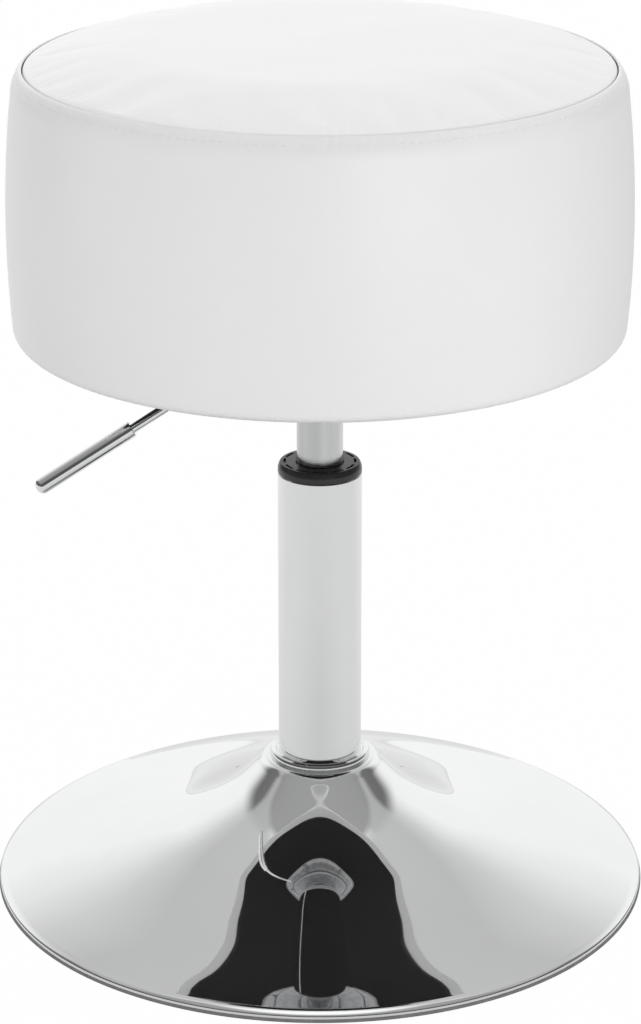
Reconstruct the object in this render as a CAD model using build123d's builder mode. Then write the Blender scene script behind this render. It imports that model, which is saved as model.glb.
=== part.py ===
"""Height-adjustable swivel stool: padded drum seat on a gas lift, chrome trumpet base."""

import os
from math import cos, radians, sin, sqrt, tan

from build123d import *

# Sizes in millimetres. The floor is z = 0, the column stands on the Z axis, +Z is up.

# Trumpet base
base_radius = 200.0
ring_height = 2.2
ring_proud = 0.5
ring_ledge = 1.5
ring_ledge_width = 6.0
plate_thickness = 4.0
plate_margin = 12.4
plate_hole_radius = 20.0
shell_wall = 1.5
rim_round = 4.7
neck_radius = 34.5
neck_height = 79.5
neck_slope = 49.7
flare_end_slope = 18.0
# Stations of the flare from neck to rim: share of the way out, share of the rise.
flare_stations = (
    (0.0339, 0.9142), (0.074, 0.8207), (0.1202, 0.7234), (0.1757, 0.6237), (0.2373, 0.5314),
    (0.2989, 0.4521), (0.3544, 0.3925), (0.4099, 0.3455), (0.49, 0.289), (0.6009, 0.2203),
    (0.7119, 0.1599), (0.8228, 0.1037), (0.9152, 0.0551),
)
# Places along the flare, rim to neck, where the wall's inner side is set out.
wall_stations = (0.93, 0.85, 0.7, 0.55, 0.4, 0.28, 0.16, 0.07, 0.02)
mouth_clearance = 0.3
neck_ring_width = 5.4
neck_ring_height = 6.0
neck_ring_round = 2.2

# Column and what holds it
column_radius = 25.5
column_wall = 2.0
column_length = 245.9
column_edge = 0.6
socket_wall = 5.0
socket_top_room = 4.0
socket_flange_width = 17.0
socket_flange_height = 6.0
socket_ledge = 4.0
socket_fit = 0.02
screw_circle_inset = 8.0
screw_count = 4
screw_radius = 3.0
screw_head_radius = 5.6
screw_head_height = 2.6
screw_end_room = 0.5
set_screw_count = 3
set_screw_radius = 3.0
set_screw_height = 34.0

# Guide bush at the column top
bush_flange = 6.3
bush_sleeve = 75.0
bush_fit = 0.1
bush_side = 2.9
bush_top_inset = 1.4
bush_round = 0.8
bush_mouth = 1.1
slot_count = 12
slot_length = 8.4
slot_width = 1.5
slot_inset = 4.15
slot_depth = 1.2

# Thrust bearing under the gas lift
clip_room = 14.5
rod_seat_thickness = 8.0
washer_thickness = 2.0
washer_radius = 13.0
ball_count = 10
ball_radius = 1.8
ball_clearance = 0.3
cage_thickness = 1.4
cage_radius = 12.0
ball_pocket_clearance = 0.15
journal_radius = 4.0
journal_fit = 0.05
clip_radius = 8.0
clip_thickness = 1.2
clip_groove_depth = 0.8
retaining_washer_thickness = 1.6
retaining_play = 0.4
rod_tail = 2.0
bump_stop_height = 10.0
bump_stop_radius = 10.0
bump_gap = 0.4

# Gas lift
tube_radius = 14.0
tube_wall = 2.0
tube_length = 296.4
tube_fit = 0.05
tube_lip = 1.6
lip_width = 3.0
taper_length = 27.0
taper_show = 2.0
taper_angle = 1.5
rod_radius = 5.0
rod_fit = 0.05
gland_length = 14.0
gland_seal_length = 6.0
piston_height = 204.0
piston_length = 12.0
piston_fit = 0.08
piston_seal_width = 3.0
piston_seal_depth = 2.5
piston_nut_height = 6.0
piston_nut_radius = 7.0
valve_length = 22.0
valve_pin_radius = 2.5
valve_pin_length = 25.5
valve_pin_rise = 4.5
valve_pin_fit = 0.06

# Seat plate and release lever
button_room = 12.7
plate_radius = 69.0
cup_radius = 50.0
sheet = 2.5
press_round = 4.0
hub_wall = 5.0
hub_drop = 4.0
taper_fit = 0.03
bolt_count = 4
bolt_radius = 3.0
bolt_head_radius = 5.6
bolt_head_height = 4.0
bolt_circle_inset = 8.0
bolt_washer_radius = 6.6
bolt_washer_thickness = 1.2
tee_nut_radius = 9.0
tee_nut_flange = 1.5
tee_nut_barrel_radius = 4.2
tee_nut_barrel = 10.0
lever_azimuth = 188.0
lever_incline = 31.5
lever_radius = 3.0
lever_length = 158.3
lever_bend = 9.0
lever_overhang = 5.0
lever_flat = 15.0
lever_lift = 7.0
pivot_radius = 36.0
pivot_rise = 2.3
pivot_pin_radius = 2.5
pivot_fit = 0.05
pivot_boss_radius = 5.2
pivot_boss_width = 6.4
button_gap = 0.3
grip_length = 68.0
grip_radius = 5.0
grip_fit = 0.03
grip_cap = 6.0
grip_round = 4.4
bracket_sheet = 2.0
bracket_side_gap = 0.4
bracket_end_gap = 1.0
bracket_head = 5.6
pin_end = 1.5
slot_side_gap = 1.2

# Padded drum seat
cover_sheet = 1.2
layer_gap = 0.15
board_radius = 167.0
dust_cover_sheet = 0.8
dust_cover_inset = 4.5
wrap_width = 25.8
edge_round = 6.5
edge_padding = 15.1
bulge_padding = 17.3
bulge_rise = 60.5
shoulder_padding = 12.3
shoulder_rise = 143.7
turn_padding = 10.3
turn_rise = 153.4
seam_padding = 4.7
seam_rise = 161.3
seam_gap = 0.4
crown = 12.2
board_thickness = 15.0
board_edge = 2.5
hoop_wall = 4.0
hoop_rise = 5.0
top_board_rise = 123.5
hoop_screw_count = 8
hoop_screw_radius = 1.75
hoop_screw_length = 22.0
hoop_screw_head = 3.6
staple_count = 28
staple_length = 10.0
staple_width = 1.2
staple_height = 0.6
staple_inset = 5.0

os.makedirs("parts", exist_ok=True)

# Heights and radii that follow from the sizes, stacked from the floor up.
plate_bottom = ring_ledge
socket_bottom = plate_bottom + plate_thickness
flare_end_height = ring_height + rim_round * cos(radians(flare_end_slope))
flare_end_radius = base_radius - rim_round * (1 - sin(radians(flare_end_slope)))
column_bottom = socket_bottom + clip_room
column_top = column_bottom + column_length
column_bore = column_radius - column_wall
bush_top = column_top + bush_flange
washer_bottom = column_bottom + rod_seat_thickness
track_bottom = washer_bottom + washer_thickness
track_top = track_bottom + 2 * (ball_radius + ball_clearance)
rod_shoulder = track_top + washer_thickness
bump_top = rod_shoulder + bump_stop_height
tube_bottom = bump_top + bump_gap
tube_top = tube_bottom + tube_length
tube_bore = tube_radius - tube_wall
taper_bottom = tube_top - taper_length
tube_top_radius = tube_radius - taper_length * tan(radians(taper_angle))
plate_top = tube_top + button_room
hub_bottom = taper_bottom + taper_show
cup_floor = hub_bottom + hub_drop
dust_cover_top = plate_top + dust_cover_sheet
seat_bottom = dust_cover_top
board_bottom = seat_bottom + cover_sheet + layer_gap
board_top = board_bottom + board_thickness
top_board_bottom = seat_bottom + top_board_rise
top_board_top = top_board_bottom + board_thickness
hoop_radius = board_radius + hoop_wall
dust_cover_radius = board_radius - dust_cover_inset
edge_radius = board_radius + edge_padding
bulge_radius = board_radius + bulge_padding
shoulder_radius = board_radius + shoulder_padding
turn_radius = board_radius + turn_padding
seam_radius = board_radius + seam_padding
seam_height = seat_bottom + seam_rise
seat_top = seam_height + crown
column_fit_radius = column_radius + socket_fit
plate_edge_radius = base_radius - plate_margin


def radial_plane(azimuth):
    """Upright plane through the Z axis: local x runs outwards, local y runs up."""
    angle = radians(azimuth)
    return Plane(
        origin=(0, 0, 0),
        x_dir=(cos(angle), sin(angle), 0),
        z_dir=(sin(angle), -cos(angle), 0),
    )


# Floor ring: soft PVC moulding with a ledge that carries the base plate.
with BuildPart() as floor_ring:
    with BuildSketch(Plane.XZ):
        with BuildLine():
            Polyline(
                (plate_edge_radius - ring_ledge_width, 0),
                (base_radius + ring_proud, 0),
                (base_radius + ring_proud, ring_height),
                (plate_edge_radius, ring_height),
                (plate_edge_radius, ring_ledge),
                (plate_edge_radius - ring_ledge_width, ring_ledge),
                close=True,
            )
        make_face()
    revolve(axis=Axis.Z)

# Countersunk screws that hold the column socket down on the base plate.
socket_radius = column_radius + socket_wall
flange_radius = socket_radius + socket_flange_width
screw_circle = flange_radius - screw_circle_inset
screw_top = socket_bottom + socket_flange_height - screw_end_room
with BuildPart() as socket_screws:
    with BuildSketch(Plane.XY.offset(plate_bottom)):
        with PolarLocations(screw_circle, screw_count, start_angle=45):
            Circle(screw_radius)
    extrude(amount=screw_top - plate_bottom)
    with BuildSketch(Plane.XY.offset(plate_bottom)):
        with PolarLocations(screw_circle, screw_count, start_angle=45):
            Circle(screw_head_radius)
    extrude(amount=screw_head_height, taper=45)

# Base plate: heavy steel disc that weights the foot, open under the column.
with BuildPart() as base_plate:
    with BuildSketch(Plane.XY.offset(plate_bottom)):
        Circle(plate_edge_radius)
        Circle(plate_hole_radius, mode=Mode.SUBTRACT)
    extrude(amount=plate_thickness)
    add(socket_screws.part, mode=Mode.SUBTRACT)

# Base shell: spun and chromed steel sheet, flat mouth, long flare, edge rolled down on the floor ring.
rise = neck_height - flare_end_height
reach = flare_end_radius - neck_radius
flare_points = [(neck_radius, neck_height)]
for outward, up in flare_stations:
    flare_points.append((neck_radius + outward * reach, flare_end_height + up * rise))
flare_points.append((flare_end_radius, flare_end_height))
neck_tangent = (cos(radians(neck_slope)), -sin(radians(neck_slope)))
rim_tangent = (cos(radians(flare_end_slope)), -sin(radians(flare_end_slope)))
rim_centre = (base_radius - rim_round, ring_height)
rim_turn = 90 - flare_end_slope
mouth_radius = column_radius + mouth_clearance
with BuildPart() as base_shell:
    with BuildSketch(Plane.XZ):
        with BuildLine():
            Line((mouth_radius, neck_height), flare_points[0])
            flare = Spline(flare_points, tangents=(neck_tangent, rim_tangent))
            CenterArc(rim_centre, rim_round, rim_turn, -rim_turn)
            Line((base_radius, ring_height), (base_radius - shell_wall, ring_height))
            rim_lining = CenterArc(rim_centre, rim_round - shell_wall, 0, rim_turn)
            lining_points = [rim_lining @ 1]
            for share in wall_stations:
                run = flare % share
                lining_points.append(flare @ share + Vector(run.Y, -run.X) * shell_wall)
            Spline(lining_points, tangents=(-(flare % 1), -(flare % wall_stations[-1])))
            Polyline(lining_points[-1], (mouth_radius, neck_height - shell_wall), (mouth_radius, neck_height))
        make_face()
    revolve(axis=Axis.Z)

# Column socket: turned steel sleeve, flanged, that grips the foot of the column.
socket_top = neck_height - shell_wall - socket_top_room
with BuildPart() as set_screws:
    for number in range(set_screw_count):
        drill = radial_plane(90 + number * 360 / set_screw_count)
        start = drill.from_local_coords((column_fit_radius, column_bottom + set_screw_height, 0))
        with BuildSketch(Plane(origin=start, z_dir=drill.x_dir)):
            Circle(set_screw_radius)
        extrude(amount=socket_wall - socket_fit)

with BuildPart() as column_socket:
    with BuildSketch(Plane.XZ):
        with BuildLine():
            Polyline(
                (column_radius - socket_ledge, socket_bottom),
                (flange_radius, socket_bottom),
                (flange_radius, socket_bottom + socket_flange_height),
                (socket_radius, socket_bottom + socket_flange_height),
                (socket_radius, socket_top),
                (column_fit_radius, socket_top),
                (column_fit_radius, column_bottom),
                (column_radius - socket_ledge, column_bottom),
                close=True,
            )
        make_face()
    revolve(axis=Axis.Z)
    add(socket_screws.part, mode=Mode.SUBTRACT)
    add(set_screws.part, mode=Mode.SUBTRACT)

# Neck ring: chromed collar that hides the joint between shell and column.
with BuildPart() as neck_ring:
    with BuildSketch(Plane.XY.offset(neck_height)):
        Circle(column_fit_radius + neck_ring_width)
        Circle(column_fit_radius, mode=Mode.SUBTRACT)
    extrude(amount=neck_ring_height)
    rim = neck_ring.edges().filter_by(GeomType.CIRCLE).group_by(Axis.Z)[-1].sort_by(SortBy.RADIUS)[-1]
    fillet(rim, radius=neck_ring_round)

# Column: chromed steel tube.
with BuildPart() as column_tube:
    with BuildSketch(Plane.XY.offset(column_bottom)):
        Circle(column_radius)
        Circle(column_bore, mode=Mode.SUBTRACT)
    extrude(amount=column_length)
    lip = column_tube.edges().group_by(Axis.Z)[-1].sort_by(SortBy.RADIUS)[-1]
    chamfer(lip, length=column_edge)

# Guide bush: moulded black plastic, its flange caps the column, its sleeve guides the lift.
slot_circle = column_radius - slot_inset
with BuildPart() as guide_bush:
    with BuildSketch(Plane.XZ):
        with BuildLine():
            Polyline(
                (tube_radius + tube_fit, column_top - bush_sleeve),
                (column_bore - bush_fit, column_top - bush_sleeve),
                (column_bore - bush_fit, column_top),
                (column_radius, column_top),
                (column_radius, column_top + bush_side),
                (column_radius - bush_top_inset, bush_top),
                (tube_radius + tube_fit + bush_mouth, bush_top),
                (tube_radius + tube_fit, bush_top - bush_mouth),
                close=True,
            )
        make_face()
    revolve(axis=Axis.Z)
    crest = guide_bush.edges().filter_by(GeomType.CIRCLE).group_by(Axis.Z)[-1].sort_by(SortBy.RADIUS)[-1]
    fillet(crest, radius=bush_round)
    with BuildSketch(Plane.XY.offset(bush_top)):
        with PolarLocations(slot_circle, slot_count):
            SlotOverall(slot_length, slot_width, rotation=90)
    extrude(amount=-slot_depth, mode=Mode.SUBTRACT)

# Rod seat: steel disc in the foot of the column that carries the thrust bearing.
with BuildPart() as rod_seat:
    with BuildSketch(Plane.XY.offset(column_bottom)):
        Circle(column_bore - bush_fit)
        Circle(journal_radius + journal_fit, mode=Mode.SUBTRACT)
    extrude(amount=rod_seat_thickness)

with BuildPart() as lower_bearing_washer:
    with BuildSketch(Plane.XY.offset(washer_bottom)):
        Circle(washer_radius)
        Circle(journal_radius + journal_fit, mode=Mode.SUBTRACT)
    extrude(amount=washer_thickness)

# Ball cage and its balls, which roll between the two bearing washers.
ball_circle = (journal_radius + cage_radius) / 2
ball_level = (track_bottom + track_top) / 2
with BuildPart() as bearing_balls:
    with Locations((0, 0, ball_level)):
        with PolarLocations(ball_circle, ball_count):
            Sphere(ball_radius)

with BuildPart() as ball_cage:
    with BuildSketch(Plane.XY.offset(ball_level - cage_thickness / 2)):
        Circle(cage_radius)
        Circle(journal_radius + journal_fit, mode=Mode.SUBTRACT)
        with PolarLocations(ball_circle, ball_count):
            Circle(ball_radius + ball_pocket_clearance, mode=Mode.SUBTRACT)
    extrude(amount=cage_thickness)

with BuildPart() as upper_bearing_washer:
    with BuildSketch(Plane.XY.offset(track_top)):
        Circle(washer_radius)
        Circle(journal_radius, mode=Mode.SUBTRACT)
    extrude(amount=washer_thickness)

# Retaining washer and spring clip that stop the rod from lifting out of its seat.
retainer_top = column_bottom - retaining_play
clip_top = retainer_top - retaining_washer_thickness
with BuildPart() as retaining_washer:
    with BuildSketch(Plane.XY.offset(clip_top)):
        Circle(clip_radius + clip_groove_depth)
        Circle(journal_radius, mode=Mode.SUBTRACT)
    extrude(amount=retaining_washer_thickness)

with BuildPart() as retaining_clip:
    with BuildSketch(Plane.XY.offset(clip_top - clip_thickness)):
        Circle(clip_radius)
        Circle(journal_radius - clip_groove_depth, mode=Mode.SUBTRACT)
        with Locations((clip_radius, 0)):
            Rectangle(2 * clip_radius, journal_radius, mode=Mode.SUBTRACT)
    extrude(amount=clip_thickness)

# Piston rod: ground steel, journalled below, threaded stud for the piston above.
piston_bottom = rod_shoulder + piston_height
piston_top = piston_bottom + piston_length
rod_bottom = clip_top - clip_thickness - rod_tail
with BuildPart() as piston_rod:
    with BuildSketch(Plane.XZ):
        with BuildLine():
            Polyline(
                (0, rod_bottom),
                (journal_radius, rod_bottom),
                (journal_radius, clip_top - clip_thickness),
                (journal_radius - clip_groove_depth, clip_top - clip_thickness),
                (journal_radius - clip_groove_depth, clip_top),
                (journal_radius, clip_top),
                (journal_radius, rod_shoulder),
                (rod_radius, rod_shoulder),
                (rod_radius, piston_bottom),
                (journal_radius, piston_bottom),
                (journal_radius, piston_top + piston_nut_height),
                (0, piston_top + piston_nut_height),
                close=True,
            )
        make_face()
    revolve(axis=Axis.Z)

with BuildPart() as bump_stop:
    with BuildSketch(Plane.XY.offset(rod_shoulder)):
        Circle(bump_stop_radius)
        Circle(rod_radius, mode=Mode.SUBTRACT)
    extrude(amount=bump_stop_height)

# Piston with its seal ring and nut, fixed on the rod inside the pressure tube.
piston_radius = tube_bore - piston_fit
seal_bottom = (piston_bottom + piston_top - piston_seal_width) / 2
with BuildPart() as piston:
    with BuildSketch(Plane.XZ):
        with BuildLine():
            Polyline(
                (journal_radius, piston_bottom),
                (piston_radius, piston_bottom),
                (piston_radius, seal_bottom),
                (piston_radius - piston_seal_depth, seal_bottom),
                (piston_radius - piston_seal_depth, seal_bottom + piston_seal_width),
                (piston_radius, seal_bottom + piston_seal_width),
                (piston_radius, piston_top),
                (journal_radius, piston_top),
                close=True,
            )
        make_face()
    revolve(axis=Axis.Z)

with BuildPart() as piston_seal:
    with BuildSketch(Plane.XY.offset(seal_bottom)):
        Circle(piston_radius)
        Circle(piston_radius - piston_seal_depth, mode=Mode.SUBTRACT)
    extrude(amount=piston_seal_width)

with BuildPart() as piston_nut:
    with BuildSketch(Plane.XY.offset(piston_top)):
        RegularPolygon(piston_nut_radius, 6)
        Circle(journal_radius, mode=Mode.SUBTRACT)
    extrude(amount=piston_nut_height)

# Pressure tube: chromed, rolled in at both ends, tapered where the seat plate sits on it.
with BuildPart() as pressure_tube:
    with BuildSketch(Plane.XZ):
        with BuildLine():
            Polyline(
                (tube_bore - lip_width, tube_bottom),
                (tube_radius, tube_bottom),
                (tube_radius, taper_bottom),
                (tube_top_radius, tube_top),
                (tube_bore - lip_width, tube_top),
                (tube_bore - lip_width, tube_top - tube_lip),
                (tube_bore, tube_top - tube_lip),
                (tube_bore, tube_bottom + tube_lip),
                (tube_bore - lip_width, tube_bottom + tube_lip),
                close=True,
            )
        make_face()
    revolve(axis=Axis.Z)

# Rod gland and its seal at the foot of the pressure tube.
gland_bottom = tube_bottom + tube_lip
gland_top = gland_bottom + gland_length
with BuildPart() as rod_gland:
    with BuildSketch(Plane.XY.offset(gland_bottom)):
        Circle(tube_bore)
        Circle(rod_radius + rod_fit, mode=Mode.SUBTRACT)
    extrude(amount=gland_length)

with BuildPart() as gland_seal:
    with BuildSketch(Plane.XY.offset(gland_top)):
        Circle(tube_bore)
        Circle(rod_radius + rod_fit, mode=Mode.SUBTRACT)
    extrude(amount=gland_seal_length)

# Release valve at the head of the tube, and the button that the lever presses.
valve_top = tube_top - tube_lip
with BuildPart() as valve_body:
    with BuildSketch(Plane.XY.offset(valve_top - valve_length)):
        Circle(tube_bore)
        Circle(valve_pin_radius + valve_pin_fit, mode=Mode.SUBTRACT)
    extrude(amount=valve_length)

button_top = tube_top + valve_pin_rise
with BuildPart() as valve_pin:
    with BuildSketch(Plane.XY.offset(button_top - valve_pin_length)):
        Circle(valve_pin_radius)
    extrude(amount=valve_pin_length)

# Seat plate hub: steel sleeve bored to the taper of the tube, welded into the seat plate.
hub_radius = tube_radius + hub_wall
hub_bore_bottom = tube_radius - taper_show * tan(radians(taper_angle)) + taper_fit
with BuildPart() as plate_hub:
    with BuildSketch(Plane.XZ):
        with BuildLine():
            Polyline(
                (hub_bore_bottom, hub_bottom),
                (hub_radius, hub_bottom),
                (hub_radius, tube_top),
                (tube_top_radius + taper_fit, tube_top),
                close=True,
            )
        make_face()
    revolve(axis=Axis.Z)

# Bolts, washers and tee nuts that hold the seat plate up against the bottom board.
bolt_circle = plate_radius - bolt_circle_inset
bolt_places = PolarLocations(bolt_circle, bolt_count, start_angle=lever_azimuth + 180 / bolt_count)
plate_underside = plate_top - sheet
bolt_head_top = plate_underside - bolt_washer_thickness
tee_nut_top = board_top + tee_nut_flange
with BuildPart() as plate_washers:
    with BuildSketch(Plane.XY.offset(bolt_head_top)):
        with bolt_places:
            Circle(bolt_washer_radius)
            Circle(bolt_radius, mode=Mode.SUBTRACT)
    extrude(amount=bolt_washer_thickness)

with BuildPart() as plate_bolts:
    with BuildSketch(Plane.XY.offset(bolt_head_top)):
        with bolt_places:
            RegularPolygon(bolt_head_radius, 6)
    extrude(amount=-bolt_head_height)
    with BuildSketch(Plane.XY.offset(bolt_head_top)):
        with bolt_places:
            Circle(bolt_radius)
    extrude(amount=tee_nut_top - bolt_head_top)

with BuildPart() as tee_nuts:
    with BuildSketch(Plane.XY.offset(board_top)):
        with bolt_places:
            Circle(tee_nut_radius)
    extrude(amount=tee_nut_flange)
    with BuildSketch(Plane.XY.offset(board_top)):
        with bolt_places:
            Circle(tee_nut_barrel_radius)
    extrude(amount=-tee_nut_barrel)
    add(plate_bolts.part, mode=Mode.SUBTRACT)

# Seat plate: pressed and chromed steel, a round flange with a cup for the lever.
lever_plane = radial_plane(lever_azimuth)
pivot_height = tube_top + pivot_rise
lever_drop = tan(radians(lever_incline))
raised_drop = tan(radians(lever_incline - lever_lift))
rod_half_height = lever_radius / cos(radians(lever_incline))
slot_bottom = pivot_height - (cup_radius - pivot_radius) * lever_drop - rod_half_height - slot_side_gap
slot_inner = cup_radius - sheet - press_round
slot_top = pivot_height - (slot_inner - pivot_radius) * raised_drop + rod_half_height + slot_side_gap
with BuildPart() as seat_plate:
    with BuildSketch(Plane.XZ):
        with BuildLine():
            FilletPolyline(
                (plate_radius, plate_top),
                (cup_radius - sheet, plate_top),
                (cup_radius - sheet, cup_floor + sheet),
                (hub_radius, cup_floor + sheet),
                radius=press_round,
            )
            offset(amount=sheet, side=Side.LEFT)
        make_face()
    revolve(axis=Axis.Z)
    with BuildSketch(lever_plane):
        with Locations((cup_radius, (slot_bottom + slot_top) / 2)):
            Rectangle(2 * (cup_radius - slot_inner), slot_top - slot_bottom)
    extrude(amount=lever_radius + slot_side_gap, both=True, mode=Mode.SUBTRACT)
    add(plate_bolts.part, mode=Mode.SUBTRACT)

# Lever bracket: folded steel channel on the cup floor, with the pivot pin across it.
bracket_half = pivot_boss_width / 2 + bracket_side_gap
bracket_bottom = cup_floor + sheet
bracket_top = pivot_height + bracket_head
with BuildPart() as pivot_pin:
    with BuildSketch(lever_plane):
        with Locations((pivot_radius, pivot_height)):
            Circle(pivot_pin_radius)
    extrude(amount=bracket_half + bracket_sheet + pin_end, both=True)

bracket_inner = hub_radius + bracket_end_gap
bracket_outer = cup_radius - sheet - press_round - bracket_end_gap
bracket_middle = (bracket_inner + bracket_outer) / 2
bracket_length = bracket_outer - bracket_inner
with BuildPart() as lever_bracket:
    with BuildSketch(lever_plane):
        with Locations((bracket_middle, (bracket_bottom + bracket_top) / 2)):
            Rectangle(bracket_length, bracket_top - bracket_bottom)
    extrude(amount=bracket_half + bracket_sheet, both=True)
    with BuildSketch(lever_plane):
        with Locations((bracket_middle, (bracket_bottom + bracket_sheet + bracket_top) / 2)):
            Rectangle(2 * bracket_length, bracket_top - bracket_bottom - bracket_sheet)
    extrude(amount=bracket_half, both=True, mode=Mode.SUBTRACT)
    add(pivot_pin.part, mode=Mode.SUBTRACT)

# Lever: bent steel rod whose inner end rests over the valve button.
lever_out = (cos(radians(lever_incline)), -sin(radians(lever_incline)))
press_height = button_top + button_gap + lever_radius


def lever_point(distance):
    """Point of the lever's straight outer run, at a distance from the pivot."""
    return (pivot_radius + distance * lever_out[0], pivot_height + distance * lever_out[1])


rod_end = lever_length - grip_cap
with BuildPart() as lever_rod:
    with BuildLine(lever_plane) as lever_path:
        FilletPolyline(
            (-lever_overhang, press_height),
            (lever_flat, press_height),
            (pivot_radius, pivot_height),
            lever_point(rod_end),
            radius=lever_bend,
        )
    with BuildSketch(Plane(origin=lever_path.line @ 0, z_dir=lever_path.line % 0)):
        Circle(lever_radius)
    sweep()
    with BuildSketch(lever_plane):
        with Locations((pivot_radius, pivot_height)):
            Circle(pivot_boss_radius)
    extrude(amount=pivot_boss_width / 2, both=True)
    with BuildSketch(lever_plane):
        with Locations((pivot_radius, pivot_height)):
            Circle(pivot_pin_radius + pivot_fit)
    extrude(amount=pivot_boss_width, both=True, mode=Mode.SUBTRACT)

# Lever grip: chromed sleeve with a domed end, pushed on the rod.
grip_start = lever_point(lever_length - grip_length)
grip_plane = Plane(
    origin=lever_plane.from_local_coords((*grip_start, 0)),
    z_dir=lever_path.line % 1,
)
with BuildPart() as lever_grip:
    with BuildSketch(grip_plane):
        Circle(grip_radius)
    extrude(amount=grip_length)
    grip_axis = Axis(grip_plane.origin, grip_plane.z_dir)
    tip = lever_grip.edges().filter_by(GeomType.CIRCLE).sort_by(grip_axis)[-1]
    fillet(tip, radius=grip_round)
    with BuildSketch(grip_plane):
        Circle(lever_radius + grip_fit)
    extrude(amount=grip_length - grip_cap, mode=Mode.SUBTRACT)

# Dust cover: black fabric disc closing the underside, pulled flat round the wrapped edge.
wrap_inner = edge_radius - edge_round - wrap_width
with BuildPart() as dust_cover:
    with BuildSketch(Plane.XY.offset(plate_top)):
        Circle(dust_cover_radius)
    extrude(amount=dust_cover_sheet)
    with BuildSketch(Plane.XY.offset(dust_cover_top)):
        Circle(wrap_inner - layer_gap)
    extrude(amount=board_bottom - dust_cover_top)
    add(plate_bolts.part, mode=Mode.SUBTRACT)

# Staples round the dust cover.
staple_circle = dust_cover_radius - staple_inset
with BuildPart() as cover_staples:
    with BuildSketch(Plane.XY.offset(plate_top)):
        with PolarLocations(staple_circle, staple_count):
            Rectangle(staple_width, staple_length)
    extrude(amount=-staple_height)

# Screws that fix the drum hoop to the edges of the two boards.
screw_levels = (board_bottom + board_thickness / 2, top_board_bottom + board_thickness / 2)
with BuildPart() as hoop_screws:
    for level in screw_levels:
        for number in range(hoop_screw_count):
            drill = radial_plane(number * 360 / hoop_screw_count)
            start = drill.from_local_coords((hoop_radius, level, 0))
            drill_plane = Plane(origin=start, z_dir=-drill.x_dir)
            with BuildSketch(drill_plane):
                Circle(hoop_screw_radius)
            extrude(amount=hoop_screw_length)
            with BuildSketch(drill_plane):
                Circle(hoop_screw_head)
            extrude(amount=hoop_screw_head - hoop_screw_radius, taper=45)

# Boards: plywood discs at the foot and head of the drum.
with BuildPart() as bottom_board:
    with BuildSketch(Plane.XY.offset(board_bottom)):
        Circle(board_radius)
    extrude(amount=board_thickness)
    chamfer(bottom_board.edges().group_by(Axis.Z)[0], length=board_edge)
    add(tee_nuts.part, mode=Mode.SUBTRACT)
    add(plate_bolts.part, mode=Mode.SUBTRACT)
    add(hoop_screws.part, mode=Mode.SUBTRACT)

with BuildPart() as top_board:
    with BuildSketch(Plane.XY.offset(top_board_bottom)):
        Circle(board_radius)
    extrude(amount=board_thickness)
    add(hoop_screws.part, mode=Mode.SUBTRACT)

# Drum hoop: bent plywood wall between the boards.
hoop_bottom = board_bottom + hoop_rise
with BuildPart() as drum_hoop:
    with BuildSketch(Plane.XY.offset(hoop_bottom)):
        Circle(hoop_radius)
        Circle(board_radius, mode=Mode.SUBTRACT)
    extrude(amount=top_board_top - hoop_bottom)
    add(hoop_screws.part, mode=Mode.SUBTRACT)


def side_points(inset):
    """Corner points of the seat's side, moved in from the outer skin by the inset."""
    edge_level = seat_bottom + edge_round
    lean = (shoulder_radius - seam_radius) / (seam_rise - shoulder_rise)
    slope = sqrt(1 + lean * lean)
    return {
        "wrap": (wrap_inner, seat_bottom + inset),
        "corner": (edge_radius - edge_round, seat_bottom + inset),
        "edge": (edge_radius - inset, edge_level),
        "bulge": (bulge_radius - inset, seat_bottom + bulge_rise),
        "shoulder": (shoulder_radius - inset, seat_bottom + shoulder_rise),
        "turn": (turn_radius - inset, seat_bottom + turn_rise - inset * lean),
        "seam": (seam_radius - inset / slope, seam_height - inset * lean / slope),
    }


# Side cover: white faux leather, wrapped under the bottom board and rolled over at the seam.
edge_centre = (edge_radius - edge_round, seat_bottom + edge_round)
skin = side_points(0)
lining = side_points(cover_sheet)
with BuildPart() as side_cover:
    with BuildSketch(Plane.XZ):
        with BuildLine():
            Line(skin["wrap"], skin["corner"])
            CenterArc(edge_centre, edge_round, -90, 90)
            ThreePointArc(skin["edge"], skin["bulge"], skin["shoulder"])
            ThreePointArc(skin["shoulder"], skin["turn"], skin["seam"])
            Line(skin["seam"], lining["seam"])
            ThreePointArc(lining["seam"], lining["turn"], lining["shoulder"])
            ThreePointArc(lining["shoulder"], lining["bulge"], lining["edge"])
            CenterArc(edge_centre, edge_round - cover_sheet, -90, 90)
            Line(lining["corner"], lining["wrap"])
            Line(lining["wrap"], skin["wrap"])
        make_face()
    revolve(axis=Axis.Z)

# Side foam: thin padding glued round the drum hoop.
pad_gap = cover_sheet + layer_gap
pad = side_points(pad_gap)
foam_inner = hoop_radius + layer_gap
with BuildPart() as side_foam:
    with BuildSketch(Plane.XZ):
        with BuildLine():
            Polyline(pad["shoulder"], (foam_inner, pad["shoulder"][1]), (foam_inner, pad["edge"][1]), pad["edge"])
            ThreePointArc(pad["edge"], pad["bulge"], pad["shoulder"])
        make_face()
    revolve(axis=Axis.Z)

# Top pad: foam cushion with a low crown, on the top board and the rim of the side foam.
crown_sphere = (seam_radius ** 2 + crown ** 2) / (2 * crown)


def crown_point(radius, depth):
    """Point of the crowned top at a radius from the axis, a depth below the outer skin."""
    return (radius, seat_top - depth - crown_sphere + sqrt(crown_sphere ** 2 - radius ** 2))


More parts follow.
